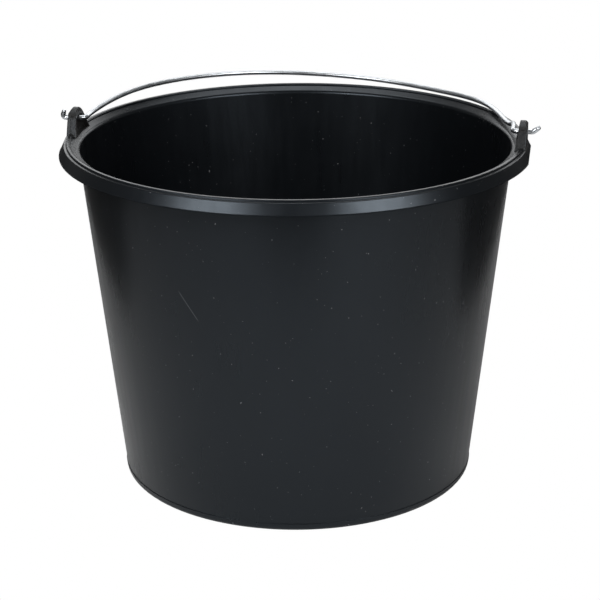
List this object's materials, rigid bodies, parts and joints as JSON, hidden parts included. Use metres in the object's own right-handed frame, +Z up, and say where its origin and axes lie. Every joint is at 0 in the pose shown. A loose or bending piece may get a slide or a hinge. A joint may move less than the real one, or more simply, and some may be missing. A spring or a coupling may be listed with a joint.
{
  "type": "florist bucket",
  "caption": "Tapered round plastic bucket for cut flowers, with a rolled rim, a raised ear on each side and a thin wire bail that folds back onto the rim.",
  "frame": {"origin": "the middle of the foot ring, on the floor the bucket stands on", "axes": "+Z up out of the mouth, X along the bail's hinge axis, +Y towards the side the bail is folded down on"},
  "size_m": [0.3293, 0.3256, 0.2526],
  "materials": {
    "body_plastic": "semi-gloss moulded charcoal polypropylene, lightly scuffed",
    "bail_wire": "galvanised steel wire, slightly dulled"
  },
  "bodies": {
    "bucket": {"bucket": "body_plastic"},
    "bail": {"bail": "bail_wire"}
  },
  "joints": [
    {"name": "bail_hinge", "type": "hinge", "parent": "bucket", "child": "bail", "pos_m": [0, 0, 0.2452], "axis": [1, 0, 0], "range_deg": [0, 181]}
  ]
}
